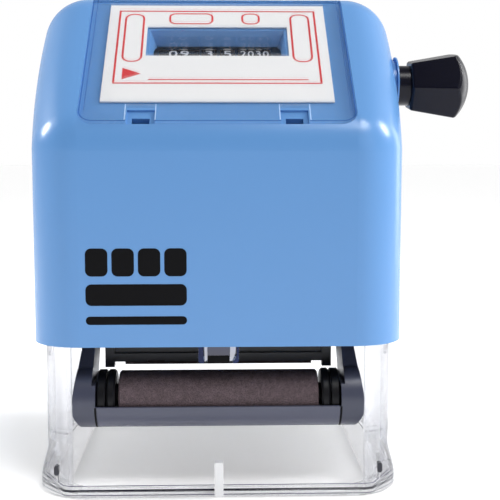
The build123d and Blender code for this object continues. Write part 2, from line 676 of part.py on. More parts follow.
def ink_roller():
    foam = chamfer(rod_x(ROLLER_R, -ROLLER_HALF, ROLLER_HALF, ROLLER_Y, ROLLER_Z).edges(), 0.35)
    return foam - rod_x(CORE_R, -ROLLER_HALF, ROLLER_HALF, ROLLER_Y, ROLLER_Z)


def roller_tray():
    """A curved bar in front of and below the roller, from arm to arm."""
    half = FOOT_INNER_X
    ring = rod_x(TRAY_R, -half, half, ROLLER_Y, ROLLER_Z)
    ring -= rod_x(TRAY_R - TRAY_WALL, -half, half, ROLLER_Y, ROLLER_Z)
    for side in (-1, 1):
        x0, x1 = sorted((side * half, side * (half - TRAY_GROOVE)))
        groove = rod_x(TRAY_R, x0, x1, ROLLER_Y, ROLLER_Z)
        ring -= groove - rod_x(TRAY_R - TRAY_WALL / 2, x0, x1, ROLLER_Y, ROLLER_Z)
    reach = 2 * TRAY_R
    fan = [(ROLLER_Y, ROLLER_Z)]
    for angle in (TRAY_TOP_ANGLE, (TRAY_TOP_ANGLE + TRAY_LOW_ANGLE) / 2, TRAY_LOW_ANGLE):
        turn = radians(angle)
        fan.append((ROLLER_Y - reach * cos(turn), ROLLER_Z - reach * sin(turn)))
    return ring & prism_x(fan, half)


# ---- small parts ----
def front_latch():
    """The clear catch that hangs from the middle of the housing's front edge."""
    catch = box(-LATCH_HALF_X, LATCH_HALF_X, latch_y, latch_y + LATCH_DEPTH,
                latch_z, HOUSING_BOTTOM_Z + LATCH_DROP)
    bottom_edges = catch.edges().filter_by(Axis.Y).group_by(Axis.Z)[0]
    catch = fillet(bottom_edges, 0.8)
    opening = PAWL_HALF_X + 0.05
    return catch - box(-opening, opening, latch_y - 1, latch_y + LATCH_DEPTH + 1,
                       latch_z - 1, latch_z + PAWL_HEIGHT)


def latch_pawl():
    z0, z1 = latch_z + 0.05, latch_z + PAWL_HEIGHT
    pawl = box(-PAWL_HALF_X, PAWL_HALF_X, latch_y + 0.3, latch_y + 0.3 + PAWL_DEPTH, z0, z1)
    return chamfer(pawl.edges().group_by(Axis.Z)[0], 0.2)


def yoke_screws():
    screws = []
    for x, y in screw_places:
        head = rod_z(SCREW_HEAD_R, x, y, YOKE_Z - SCREW_HEAD, YOKE_Z)
        head -= Pos(x, y, YOKE_Z - SCREW_HEAD) * Box(3, 0.6, 1.2)
        screws.append(head + rod_z(SCREW_R, x, y, YOKE_Z, YOKE_Z + SCREW_LENGTH))
    return screws


save(base_frame(), "base_frame")
save(housing(), "housing")
save(knob_bush(), "knob_bush")
save(yoke_plate(), "yoke_plate")
save(head_rim(), "head_rim")
save(text_plate(), "text_plate")
save(text_rubber(), "text_rubber")
save(band_bridge(), "band_bridge")
save(knob_shaft(), "knob_shaft")
save(retaining_clip(), "retaining_clip")
save(knob(), "knob")
save(selector_collar(), "selector_collar")
save(panel_cover(), "panel_cover")
save(index_card(), "index_card")
save(roller_axle(), "roller_axle")
save(roller_core(), "roller_core")
save(ink_roller(), "ink_roller")
save(roller_tray(), "roller_tray")
save(front_latch(), "front_latch")
save(latch_pawl(), "latch_pawl")
save_group(tie_rods(), "tie_rods")
save_group(pivot_pins(), "arm_pivot_pins")
save_group(yoke_screws(), "yoke_screws")
for name, left, width, web_x, _ in BANDS:
    save(date_band(left, width), f"{name}_band")
    save(date_wheel(left, width, web_x), f"{name}_wheel")
for side_name, side in (("left", -1), ("right", 1)):
    save(side_plate(side), f"side_plate_{side_name}")
    save(arm(side), f"roller_arm_{side_name}")
    save(roller_bearing(side), f"roller_bearing_{side_name}")
    save(guide_pin(side), f"guide_pin_{side_name}")
    save(return_spring(side), f"return_spring_{side_name}")
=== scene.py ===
import bpy
import bmesh
import json
from math import cos, pi, radians, sin
from mathutils import Euler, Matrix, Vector

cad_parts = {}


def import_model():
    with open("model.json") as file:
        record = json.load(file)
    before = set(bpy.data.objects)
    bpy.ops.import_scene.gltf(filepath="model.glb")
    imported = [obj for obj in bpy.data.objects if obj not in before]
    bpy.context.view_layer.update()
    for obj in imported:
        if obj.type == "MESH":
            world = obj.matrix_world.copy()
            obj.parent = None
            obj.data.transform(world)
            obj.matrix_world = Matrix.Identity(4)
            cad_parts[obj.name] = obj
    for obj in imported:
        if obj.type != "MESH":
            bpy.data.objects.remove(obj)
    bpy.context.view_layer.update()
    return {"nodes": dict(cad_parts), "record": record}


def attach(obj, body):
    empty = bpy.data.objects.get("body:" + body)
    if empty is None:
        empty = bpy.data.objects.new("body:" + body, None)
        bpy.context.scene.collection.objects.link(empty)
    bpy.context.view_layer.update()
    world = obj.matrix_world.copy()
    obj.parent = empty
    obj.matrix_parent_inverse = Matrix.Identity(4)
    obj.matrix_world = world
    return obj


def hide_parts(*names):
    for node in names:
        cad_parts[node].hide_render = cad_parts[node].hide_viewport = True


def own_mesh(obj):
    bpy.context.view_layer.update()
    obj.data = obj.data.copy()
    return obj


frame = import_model()
nodes = frame["nodes"]
MM = 0.001
SIDES = ((-1, "left"), (1, "right"))


# ---- materials ----
class Shader:
    """One node material, with short calls for the nodes it needs."""

    # sockets of a Mix node that mixes colours
    MIX_AMOUNT, MIX_FIRST, MIX_SECOND, MIX_RESULT = 0, 6, 7, 2

    def __init__(self, name):
        self.material = bpy.data.materials.new(name)
        self.material.use_nodes = True
        self.tree = self.material.node_tree
        self.surface = self.tree.nodes["Principled BSDF"]
        self.output = self.tree.nodes["Material Output"]

    def node(self, kind, **settings):
        made = self.tree.nodes.new(kind)
        for key, value in settings.items():
            if hasattr(made, key):
                setattr(made, key, value)
            else:
                made.inputs[key.replace("_", " ")].default_value = value
        return made

    def link(self, source, target):
        self.tree.links.new(source, target)

    def set(self, **values):
        for key, value in values.items():
            self.surface.inputs[key.replace("_", " ")].default_value = value

    def place(self, stretch=(1, 1, 1)):
        """The object's own coordinates, in metres, stretched along some axes."""
        mapped = self.node("ShaderNodeMapping")
        mapped.inputs["Scale"].default_value = stretch
        self.link(self.node("ShaderNodeTexCoord").outputs["Object"], mapped.inputs["Vector"])
        return mapped.outputs["Vector"]

    def noise(self, scale, detail=3.0, roughness=0.55, stretch=(1, 1, 1)):
        made = self.node("ShaderNodeTexNoise", Scale=scale, Detail=detail, Roughness=roughness)
        self.link(self.place(stretch), made.inputs["Vector"])
        return made.outputs["Fac"]

    def cells(self, scale):
        made = self.node("ShaderNodeTexVoronoi", Scale=scale)
        self.link(self.place(), made.inputs["Vector"])
        return made.outputs["Distance"]

    def ramp(self, source, stops):
        """Turn a value into a colour or a grey level. stops are (value, colour or level)."""
        made = self.node("ShaderNodeValToRGB")
        elements = made.color_ramp.elements
        while len(elements) < len(stops):
            elements.new(0.5)
        for element, (at, value) in zip(elements, stops):
            element.position = at
            element.color = (*value, 1) if isinstance(value, tuple) else (value, value, value, 1)
        self.link(source, made.inputs["Fac"])
        return made.outputs["Color"]

    def mix(self, amount, first, second):
        """A blend of two colours, each of them a tuple or an output of a node."""
        made = self.node("ShaderNodeMix", data_type="RGBA")
        self.link(amount, made.inputs[self.MIX_AMOUNT])
        for socket, value in ((made.inputs[self.MIX_FIRST], first), (made.inputs[self.MIX_SECOND], second)):
            if isinstance(value, tuple):
                socket.default_value = (*value, 1)
            else:
                self.link(value, socket)
        return made.outputs[self.MIX_RESULT]

    def bump(self, source, strength, distance):
        made = self.node("ShaderNodeBump", Strength=strength, Distance=distance)
        self.link(source, made.inputs["Height"])
        self.link(made.outputs["Normal"], self.surface.inputs["Normal"])


def shade(colour, factor):
    return tuple(min(1.0, c * factor) for c in colour)


def surface_finish(name, colour, rough, grain, mottle, scuff, scuff_tone=1.5, grain_scale=5200.0,
                   level=0.5):
    """Mottled colour, fine grain, uneven gloss, and faint scuffs drawn out upwards."""
    made = Shader(name)
    tone = made.ramp(made.noise(scale=45.0),
                     [(0.3, shade(colour, 1 - mottle)), (0.7, shade(colour, 1 + mottle))])
    streaks = made.noise(scale=70.0, detail=9.0, roughness=0.7, stretch=(1, 1, 0.25))
    worn = made.ramp(streaks, [(0.5, 0.0), (0.85, scuff)])
    made.link(made.mix(worn, tone, shade(colour, scuff_tone)), made.surface.inputs["Base Color"])
    gloss = made.ramp(made.noise(scale=240.0, detail=2.0), [(0.2, rough * 0.96), (0.8, rough * 1.05)])
    made.link(gloss, made.surface.inputs["Roughness"])
    made.set(Specular_IOR_Level=level)
    made.bump(made.noise(scale=grain_scale, detail=2.0), strength=grain, distance=0.00005)
    return made


def clear(name, tint, edge, alpha, rough, density, inside):
    """Clear moulded plastic: polished, with painted shade that darkens it at grazing angles, and tinted
    where it is thick.
    """
    made = Shader(name)
    tone = made.ramp(made.noise(scale=40.0), [(0.3, shade(tint, 0.985)), (0.7, tint)])
    # painted shade: towards grazing angles the base colour goes over to the edge colour
    facing = made.node("ShaderNodeLayerWeight", Blend=0.5).outputs["Facing"]
    rim = made.ramp(facing, [(0.6, 0.0), (0.86, 0.3), (1.0, 1.0)])
    made.link(made.mix(rim, tone, edge), made.surface.inputs["Base Color"])
    made.set(Transmission_Weight=1.0, IOR=1.5, Alpha=alpha)
    gloss = made.ramp(made.noise(scale=220.0, detail=6.0), [(0.3, rough * 0.5), (0.8, rough * 1.8)])
    made.link(gloss, made.surface.inputs["Roughness"])
    made.bump(made.noise(scale=60.0, detail=1.0), strength=0.03, distance=0.0001)
    volume = made.node("ShaderNodeVolumeAbsorption")
    volume.inputs["Color"].default_value = (*inside, 1)
    volume.inputs["Density"].default_value = density
    made.link(volume.outputs["Volume"], made.output.inputs["Volume"])
    return made


def foam(name, dark, light):
    """Open cell foam soaked in ink, with a fine speckle of pores whose pits are darkened as painted shade.
    """
    made = Shader(name)
    pore_scale = 4600.0
    patch = made.ramp(made.noise(scale=900.0, detail=6.0, roughness=0.7), [(0.3, dark), (0.75, light)])
    # the pits of the pores are darkened: painted shade
    pore_shade = made.ramp(made.cells(pore_scale), [(0.15, 1.0), (0.5, 0.0)])
    made.link(made.mix(pore_shade, patch, shade(dark, 0.35)), made.surface.inputs["Base Color"])
    made.set(Roughness=0.75, Specular_IOR_Level=0.35)
    made.bump(made.cells(pore_scale), strength=0.7, distance=0.00015)
    return made


def metal(name, colour, rough):
    """Drawn steel, with its fine marks running along X."""
    made = Shader(name)
    tone = made.ramp(made.noise(scale=90.0), [(0.3, shade(colour, 0.85)), (0.7, colour)])
    made.link(tone, made.surface.inputs["Base Color"])
    streaks = made.noise(scale=900.0, detail=4.0, roughness=0.6, stretch=(0.1, 1, 1))
    made.link(made.ramp(streaks, [(0.3, rough * 0.8), (0.7, rough * 1.3)]), made.surface.inputs["Roughness"])
    made.set(Metallic=1.0)
    marks = made.noise(scale=3000.0, detail=2.0, roughness=0.5, stretch=(0.05, 1, 1))
    made.bump(marks, strength=0.08, distance=0.00004)
    return made


# one finish for each material slot of the record
shaders = {
    "blue_shell": surface_finish("housing_blue", (0.127, 0.312, 0.645), rough=0.26, grain=0.03,
                                 mottle=0.006, scuff=0.012, scuff_tone=1.1),
    "dark_plastic": surface_finish("dark_plastic", (0.07, 0.073, 0.084), rough=0.38, grain=0.1,
                                   mottle=0.08, scuff=0.25, level=0.4),
    "grey_blue": surface_finish("grey_blue", (0.076, 0.082, 0.125), rough=0.32, grain=0.1,
                                mottle=0.05, scuff=0.3),
    "black_knob": surface_finish("black_knob", (0.004, 0.004, 0.011), rough=0.26, grain=0.1,
                                 mottle=0.1, scuff=0.2, scuff_tone=2.0, level=0.24),
    "black_trim": surface_finish("black_trim", (0.007, 0.007, 0.009), rough=0.38, grain=0.12,
                                 mottle=0.1, scuff=0.25, scuff_tone=2.0, level=0.2),
    "wheel_plastic": surface_finish("wheel_plastic", (0.5, 0.5, 0.52), rough=0.45, grain=0.08,
                                    mottle=0.04, scuff=0.2, scuff_tone=0.8),
    "band_rubber": surface_finish("band_rubber", (0.006, 0.006, 0.009), rough=0.7, grain=0.25,
                                  mottle=0.15, scuff=0.2, scuff_tone=2.0, level=0.1),
    "text_rubber": surface_finish("text_rubber", (0.035, 0.02, 0.025), rough=0.6, grain=0.25,
                                  mottle=0.2, scuff=0.3, scuff_tone=1.6),
    "ink_foam": foam("ink_foam", dark=(0.07, 0.048, 0.055), light=(0.16, 0.115, 0.128)),
    "card": surface_finish("card", (0.88, 0.88, 0.88), rough=0.6, grain=0.12, mottle=0.012,
                           scuff=0.1, scuff_tone=0.97, grain_scale=2600.0),
    "steel": metal("steel", (0.62, 0.62, 0.64), rough=0.25),
    "spring_steel": metal("spring_steel", (0.45, 0.45, 0.47), rough=0.3),
    "clear_base": clear("clear_base", tint=(0.98, 0.985, 1.0), edge=(0.3, 0.3, 0.36), alpha=0.62,
                        rough=0.02, density=40.0, inside=(0.3, 0.31, 0.4)),
    "clear_cover": clear("clear_cover", tint=(0.98, 0.985, 1.0), edge=(0.35, 0.42, 0.6), alpha=0.12,
                         rough=0.03, density=14.0, inside=(0.3, 0.4, 0.6)),
    "clear_blue": clear("clear_blue", tint=(0.5, 0.68, 0.95), edge=(0.02, 0.06, 0.3), alpha=0.6,
                        rough=0.04, density=220.0, inside=(0.05, 0.25, 0.75)),
}
# finishes outside the slots: inks, a darker copy of grey_blue for the arms as painted shade, painted shade
# and painted highlight lines along edges of the clear parts, and parts of the catch
red_ink = surface_finish("red_ink", (0.7, 0.03, 0.035), rough=0.5, grain=0.1, mottle=0.06,
                         scuff=0.25, scuff_tone=1.3, grain_scale=2600.0)
black_ink = surface_finish("black_ink", (0.003, 0.003, 0.004), rough=0.55, grain=0.06, mottle=0.1,
                           scuff=0.12, scuff_tone=3.0, level=0.12)
# the next two colour the painted shade lines round the clear foot; the first also colours the port plugs
edge_dark = surface_finish("clear_edge_dark", (0.018, 0.018, 0.03), rough=0.2, grain=0.04,
                           mottle=0.2, scuff=0.2)
edge_shade_grey = surface_finish("clear_edge_shade_grey", (0.16, 0.155, 0.22), rough=0.2, grain=0.04,
                           mottle=0.15, scuff=0.2)
# a near-white finish for the centre mark
whitish = surface_finish("clear_whitish", (0.84, 0.845, 0.86), rough=0.3, grain=0.1, mottle=0.03,
                         scuff=0.2, scuff_tone=1.05)
# the roller arms: grey_blue made darker, as painted shade
arm_grey_shaded = surface_finish("arm_grey_shaded", (0.052, 0.057, 0.09), rough=0.34, grain=0.1, mottle=0.05,
                          scuff=0.3)
# painted shade for the clear cover's edge and fold lines
cover_edge_shade = surface_finish("cover_edge_shade", (0.04, 0.13, 0.38), rough=0.15, grain=0.04, mottle=0.08,
                            scuff=0.2, scuff_tone=1.2)
# painted highlight for the sides of the cover's notches
cover_painted_glint = surface_finish("cover_painted_glint", (0.42, 0.6, 0.86), rough=0.12, grain=0.04, mottle=0.05,
                             scuff=0.2, scuff_tone=1.1)
latch_blue = surface_finish("latch_blue", (0.003, 0.012, 0.075), rough=0.12, grain=0.04,
                            mottle=0.2, scuff=0.2, level=0.3)
latch_grey = surface_finish("latch_grey", (0.1, 0.1, 0.135), rough=0.15, grain=0.04, mottle=0.1,
                            scuff=0.2, scuff_tone=1.2, level=0.4)
latch_white = surface_finish("latch_white", (0.6, 0.6, 0.66), rough=0.15, grain=0.04, mottle=0.08,
                             scuff=0.2, scuff_tone=1.1)
white_ink = surface_finish("white_ink", (0.62, 0.63, 0.66), rough=0.55, grain=0.1, mottle=0.1,
                           scuff=0.4, scuff_tone=0.7)

# nodes whose look differs from the rest of their slot; the roller arms are drawn darker than the tray as
# painted shade
SHOWN_AS = {"knob_bush": shaders["blue_shell"], "latch_pawl": black_ink,
            "roller_arm_left": arm_grey_shaded, "roller_arm_right": arm_grey_shaded}

for entry in frame["record"]["subparts"]:
    node = nodes[entry["node"]]
    node.data.materials.clear()
    node.data.materials.append(shaders[entry["material_slot"]].material)
for name, shader in SHOWN_AS.items():
    nodes[name].data.materials[0] = shader.material


# ---- tools for the pieces. Sizes and places are in mm ----
def piece(name, bm, shader, body):
    """A new mesh piece of the object, moving with the given body."""
    bmesh.ops.recalc_face_normals(bm, faces=bm.faces)
    mesh = bpy.data.meshes.new(name)
    bm.to_mesh(mesh)
    bm.free()
    mesh.materials.append(shader.material)
    made = bpy.data.objects.new(name, mesh)
    bpy.context.scene.collection.objects.link(made)
    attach(made, body)
    return made


def side_walls(bm, one, other):
    """The faces between two closed loops of points."""
    count = len(one)
    for i in range(count):
        j = (i + 1) % count
        bm.faces.new((one[i], one[j], other[j], other[i]))


def slab(bm, outline, place, low, high):
    """A thin solid on a flat outline. place(a, b, height) gives its points."""
    rings = [[bm.verts.new(place(a, b, level)) for a, b in outline] for level in (low, high)]
    bm.faces.new(rings[0])
    bm.faces.new(rings[1])
    side_walls(bm, rings[0], rings[1])


def outline_ring(bm, outer, inner, place, low, high):
    """A thin solid between two outlines with the same number of points."""
    loops = [[bm.verts.new(place(a, b, level)) for a, b in line]
             for line in (outer, inner) for level in (low, high)]
    out_low, out_high, in_low, in_high = loops
    side_walls(bm, out_low, out_high)
    side_walls(bm, in_low, in_high)
    side_walls(bm, out_low, in_low)
    side_walls(bm, out_high, in_high)


def ribbon(bm, path, width, place, low, high):
    """A thin flat strip along an open path."""
    left, right = [], []
    for i, here in enumerate(path):
        before, after = path[max(i - 1, 0)], path[min(i + 1, len(path) - 1)]
        along = (Vector(after) - Vector(before)).normalized()
        across = Vector((-along.y, along.x)) * width / 2
        left.append(tuple(Vector(here) + across))
        right.append(tuple(Vector(here) - across))
    slab(bm, left + right[::-1], place, low, high)


def tube(bm, rings, closed=False):
    """The skin over a row of rings, joined into a loop or capped at both ends."""
    for one, other in zip(rings, rings[1:]):
        side_walls(bm, one, other)
    if closed:
        side_walls(bm, rings[-1], rings[0])
    else:
        bm.faces.new(rings[0])
        bm.faces.new(rings[-1])


def smooth(bm):
    for face in bm.faces:
        face.smooth = True


def rounded(x0, y0, x1, y1, r, steps=5):
    """Corner-rounded rectangle as a list of points."""
    corners = ((x1 - r, y1 - r, 0), (x0 + r, y1 - r, 90), (x0 + r, y0 + r, 180), (x1 - r, y0 + r, 270))
    points = []
    for centre_x, centre_y, start in corners:
        for i in range(steps + 1):
            angle = radians(start + 90 * i / steps)
            points.append((centre_x + r * cos(angle), centre_y + r * sin(angle)))
    return points


def on_plane(y):
    """Points of an upright plane that faces the user: across, up and out of it."""
    return lambda x, z, n: Vector((x, y - n, z)) * MM


# the sloped panel: x across, u up the slope from the datum line, n out of it
PANEL_Y = -20.5
PANEL_Z = 86.87
PANEL_TILT = radians(40)


def on_panel(x, u, n):
    y = PANEL_Y + u * cos(PANEL_TILT) - n * sin(PANEL_TILT)
    z = PANEL_Z + u * sin(PANEL_TILT) + n * cos(PANEL_TILT)
    return Vector((x, y, z)) * MM


# ---- print on the card ----
CARD_INK = (-1.045, -1.02)     # lower and upper face of the print, below the panel's surface
CARD_LINE = 0.44
CARD_FRAME = (-22.2, -1.0, 22.2, 26.4)
CARD_FIELDS = (                # left, lower, right and upper edge, and corner radius
    (-20.8, 6.7, -16.3, 25.1, 2.0),
    (-10.9, 21.0, -0.9, 25.4, 1.6),
    (5.4, 21.0, 9.6, 25.4, 1.6),
    (16.3, 6.7, 20.8, 25.1, 2.0),
)
SIGN_LINE = (-14.7, 0.3, 19.3, 0.66)
ARROW = ((-20.3, 0.5), (-16.3, 2.5), (-20.3, 4.5))


def ink_frame(bm, x0, u0, x1, u1, outer_r, inner_r):
    line = CARD_LINE
    outline_ring(bm, rounded(x0, u0, x1, u1, outer_r),
                 rounded(x0 + line, u0 + line, x1 - line, u1 - line, inner_r), on_panel, *CARD_INK)


def card_print():
    """Red frame, blank outlined fields and a line to sign on, printed on the card."""
    bm = bmesh.new()
    ink_frame(bm, *CARD_FRAME, 0.3, 0.1)
    for *edges, r in CARD_FIELDS:
        ink_frame(bm, *edges, r, r - CARD_LINE)
    slab(bm, rounded(*SIGN_LINE, 0.1), on_panel, *CARD_INK)
    slab(bm, ARROW, on_panel, *CARD_INK)
    piece("card_print", bm, red_ink, "head")


# ---- painted shade and painted highlight lines on the clear cover ----
COVER_HALF_X = 28.3
COVER_FRONT_U = -14.7
COVER_ROUND = 3.2
LINES_REAR_U = 29.0            # the lines stop here, just before the cover's rear edge
NOTCH_EDGES = (12.8, 18.6)     # finger notches in the front edge, on each side
NOTCH_REAR_U = -9.2
LINE_INSET = 0.16              # from the cover's edge to the middle of the line
EDGE_WIDTH = 0.24
EDGE_RISE = (0.005, 0.025)     # lower and upper face of a line
FOLD_X = 27.2
FOLD_WIDTH = 0.12
FOLD_RISE = (0.005, 0.02)
FOLD_SHORT = 3.4               # how far the fold line stops from the front edge
GLINT_WIDTH = 0.22
GLINT_OUT = 0.2                # from a side of the notch to the middle of its bright line
GLINT_SHORT = 0.3


def cover_lines():
    """Painted shade along the clear cover's thick edge and its folds, and painted highlights along the sides
    of its notches.
    """
    inner, outer = NOTCH_EDGES
    half, front, r = COVER_HALF_X - LINE_INSET, COVER_FRONT_U + LINE_INSET, COVER_ROUND - LINE_INSET
    corner = [(half - r + r * cos(radians(a)), front + r + r * sin(radians(a))) for a in range(0, -91, -10)]
    right = [(half, LINES_REAR_U)] + corner + [(outer, front)]
    left = [(-x, u) for x, u in right]
    between_notches = [(-inner, front), (inner, front)]
    bm = bmesh.new()
    # dark lines: painted shade along the cover's edge and its fold lines
    for path in (right, left, between_notches):
        ribbon(bm, path, EDGE_WIDTH, on_panel, *EDGE_RISE)
    for side, _ in SIDES:
        fold = [(side * FOLD_X, LINES_REAR_U), (side * FOLD_X, COVER_FRONT_U + FOLD_SHORT)]
        ribbon(bm, fold, FOLD_WIDTH, on_panel, *FOLD_RISE)
    piece("cover_edge_lines", bm, cover_edge_shade, "cover")
    # bright lines: painted highlights beside the notches
    bm = bmesh.new()
    for side, _ in SIDES:
        for x, out in ((inner, -GLINT_OUT), (outer, GLINT_OUT)):
            glint = [(side * (x + out), front + GLINT_SHORT), (side * (x + out), NOTCH_REAR_U)]
            ribbon(bm, glint, GLINT_WIDTH, on_panel, *EDGE_RISE)
    piece("cover_notch_glints", bm, cover_painted_glint, "cover")


# ---- print on the housing ----
HOUSING_FRONT_Y = -33.0
HOUSING_INK = (0.005, 0.03)    # lower and upper face of the print
MARK_LEFT = -26.9
MARK_RIGHT = -6.4
BLOCK_COUNT = 4
BLOCK_GAP = 0.8
BLOCK_ROUND = 1.2
BLOCK_Z = (46.2, 51.9)
BAR_Z = (40.2, 44.6)
THIN_BAR_Z = (36.3, 38.0)
THIN_BAR_ROUND = 0.8


def housing_print():
    """A plain printed mark low on the front: four blocks, a bar and a thin bar."""
    width = (MARK_RIGHT - MARK_LEFT - (BLOCK_COUNT - 1) * BLOCK_GAP) / BLOCK_COUNT
    shapes = []
    for i in range(BLOCK_COUNT):
        x0 = MARK_LEFT + i * (width + BLOCK_GAP)
        shapes.append((x0, x0 + width, BLOCK_Z, BLOCK_ROUND))
    shapes.append((MARK_LEFT, MARK_RIGHT, BAR_Z, BLOCK_ROUND))
    shapes.append((MARK_LEFT, MARK_RIGHT, THIN_BAR_Z, THIN_BAR_ROUND))
    bm = bmesh.new()
    for x0, x1, (z0, z1), r in shapes:
        slab(bm, rounded(x0, z0, x1, z1, r), on_plane(HOUSING_FRONT_Y), *HOUSING_INK)
    piece("housing_print", bm, black_ink, "head")


# ---- raised figures on the date bands ----
DRUM_Y = -3.0
DRUM_Z = 86.0
DRUM_R = 8.0
FIGURE_TILT = 33.0             # the row in the window, forward of straight up
FIGURE_STEP = 30.0             # from one row to the next
FIGURE_HEIGHT = 2.8
FIGURE_RISE = 0.12
FIGURE_WIDEST = 1.1            # most that a figure is widened, against its height
FIGURE_SPACING = 1.15
BAND_MARGIN = 1.0              # left free across a band, both sides together
BANDS = (                      # name, left edge, width, and rows from the rear to the front
    ("month", -13.1, 9.0, ("12", "11", "10", "09", "08", "07", "06")),
    ("day_tens", -3.6, 3.4, ("2", "1", "0", "3", "2", "1", "0")),
    ("day_units", 0.5, 3.4, ("8", "7", "6", "5", "4", "3", "2")),
    ("year", 4.6, 7.3, ("2033", "2032", "2031", "2030", "2029", "2028", "2027")),
)


def figure_mesh(text, width):
    """A flat solid of the figures, centred, with the given width at most."""
    curve = bpy.data.curves.new("figures", "FONT")
    curve.body = text
    curve.align_x = "CENTER"
    curve.align_y = "CENTER"
    curve.size = 1.0
    curve.space_character = FIGURE_SPACING
    curve.resolution_u = 3
    curve.extrude = 0.5
    shown = bpy.data.objects.new("figures", curve)
    bpy.context.scene.collection.objects.link(shown)
    bpy.context.view_layer.update()
    mesh = bpy.data.meshes.new_from_object(shown)
    bpy.data.objects.remove(shown)
    spots = [v.co.copy() for v in mesh.vertices]
    low = [min(p[i] for p in spots) for i in range(2)]
    high = [max(p[i] for p in spots) for i in range(2)]
    scale_y = FIGURE_HEIGHT / (high[1] - low[1])
    scale_x = min(scale_y * FIGURE_WIDEST, width / (high[0] - low[0]))
    for v in mesh.vertices:
        v.co.x = (v.co.x - (low[0] + high[0]) / 2) * scale_x
        v.co.y = (v.co.y - (low[1] + high[1]) / 2) * scale_y
        v.co.z = v.co.z * FIGURE_RISE
    return mesh


def band_figures(name, left, width, rows):
    """The rows of one band, bent round its drum: x across, y round it, z out of it."""
    bm = bmesh.new()
    middle = left + width / 2
    for i, text in enumerate(rows):
        mesh = figure_mesh(text, width - BAND_MARGIN)
        part = bmesh.new()
        part.from_mesh(mesh)
        angle = FIGURE_TILT + (i - len(rows) // 2) * FIGURE_STEP
        for v in part.verts:
            turn = radians(angle) - v.co.y / DRUM_R
            radius = DRUM_R + FIGURE_RISE / 2 + v.co.z
            v.co = Vector((middle + v.co.x, DRUM_Y - radius * sin(turn), DRUM_Z + radius * cos(turn))) * MM
        part.to_mesh(mesh)
        part.free()
        bm.from_mesh(mesh)
        bpy.data.meshes.remove(mesh)
    piece(name + "_figures", bm, white_ink, "head")


# ---- return springs: drawn wire, closed end turns ----
SPRING_X = 32.2
SPRING_FOOT = 40.0
SPRING_TOP = 73.98
SPRING_R = 1.6
WIRE_R = 0.3
SPRING_TURNS = 14
CLOSED_PITCH = 2.2             # rise of an end turn, in wire radii
STEPS_A_TURN = 24
WIRE_SIDES = 8


def spring_height(turn):
    """Height of the wire's middle after a number of turns from the foot."""
    low, high = SPRING_FOOT + WIRE_R, SPRING_TOP - WIRE_R
    dead = CLOSED_PITCH * WIRE_R
    if turn < 1:
        return low + dead * turn
    if turn > SPRING_TURNS - 1:
        return high - dead * (SPRING_TURNS - turn)
    return low + dead + (high - low - 2 * dead) * (turn - 1) / (SPRING_TURNS - 2)


def spring(side, word):
    """One compression spring with a closed turn at each end."""
    bm = bmesh.new()
    rings = []
    for i in range(SPRING_TURNS * STEPS_A_TURN + 1):
        turn = i / STEPS_A_TURN
        z = spring_height(turn)
        angle = 2 * pi * turn
        ring = []
        for k in range(WIRE_SIDES):
            around = 2 * pi * k / WIRE_SIDES
            r = SPRING_R + WIRE_R * cos(around)
            spot = (side * SPRING_X + r * cos(angle), r * sin(angle), z + WIRE_R * sin(around))
            ring.append(bm.verts.new(Vector(spot) * MM))
        rings.append(ring)
    tube(bm, rings)
    smooth(bm)
    coil = piece("spring_coil_" + word, bm, shaders["spring_steel"], "base")
    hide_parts("return_spring_" + word)
    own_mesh(coil)


# ---- painted shade lines, ports and the centre mark of the clear foot ----
FOOT_EDGE_Z = 2.8              # the foot is at its widest below this
FOOT_INSIDE_X = 38.0           # at that height, every inner wall of the foot lies within these two
FOOT_INSIDE_Y = 32.5
SHADE_LINE_SIDES = 8
SHADE_LINE_PROUD = 0.02              # how far a painted shade line stands out of the foot's skin
SHADE_LINES = (                      # piece, height, radius and finish
    ("foot_shade_line_top", 2.62, 0.09, edge_shade_grey),
    ("foot_shade_line_middle", 1.5, 0.26, edge_dark),
    ("foot_shade_line_low", 0.62, 0.1, edge_shade_grey),
)
CENTRE_MARK = (-0.93, 0.05, 0.93, 7.34)     # left, lower, right and upper edge
CENTRE_MARK_ROUND = 0.12
CENTRE_MARK_Y = -31.37         # its rear face
CENTRE_MARK_DEPTH = 2.035
PLUG_X = 33.7
PLUG_HALF_X = 0.5
PLUG_Z = (4.35, 6.45)
PLUG_ROUND = 0.48
PLUG_Y = -29.9                 # its rear face
PLUG_DEPTH = 1.5


def foot_outline():
    """Outside of the foot in plan, in mm, read off the frame."""
    low, high = (FOOT_EDGE_Z - 0.01) * MM, (FOOT_EDGE_Z + 0.01) * MM
    spots = {(round(v.co.x / MM, 3), round(v.co.y / MM, 3)) for v in nodes["base_frame"].data.vertices
             if low < v.co.z < high
             and (abs(v.co.x) > FOOT_INSIDE_X * MM or abs(v.co.y) > FOOT_INSIDE_Y * MM)}
    return sorted(spots, key=lambda p: Vector((1, 0)).angle_signed(Vector(p)))


def foot_shade_line(name, z, r, shader):
    """A fine dark line round the foot, sunk into its skin: painted shade where the clear foot's edges look
    dark.
    """
    path = [Vector(p) for p in foot_outline()]
    bm = bmesh.new()
    rings = []
    for i, here in enumerate(path):
        along = (path[(i + 1) % len(path)] - path[i - 1]).normalized()
        inward = Vector((along.y, -along.x))
        if inward.dot(here) > 0:
            inward = -inward
        centre = here + inward * (r - SHADE_LINE_PROUD)
        ring = []
        for k in range(SHADE_LINE_SIDES):
            around = 2 * pi * k / SHADE_LINE_SIDES
            spot = centre + inward * (r * cos(around))
            ring.append(bm.verts.new(Vector((spot.x, spot.y, z + r * sin(around))) * MM))
        rings.append(ring)
    tube(bm, rings, closed=True)
    smooth(bm)
    shade_line = piece(name, bm, shader, "base")


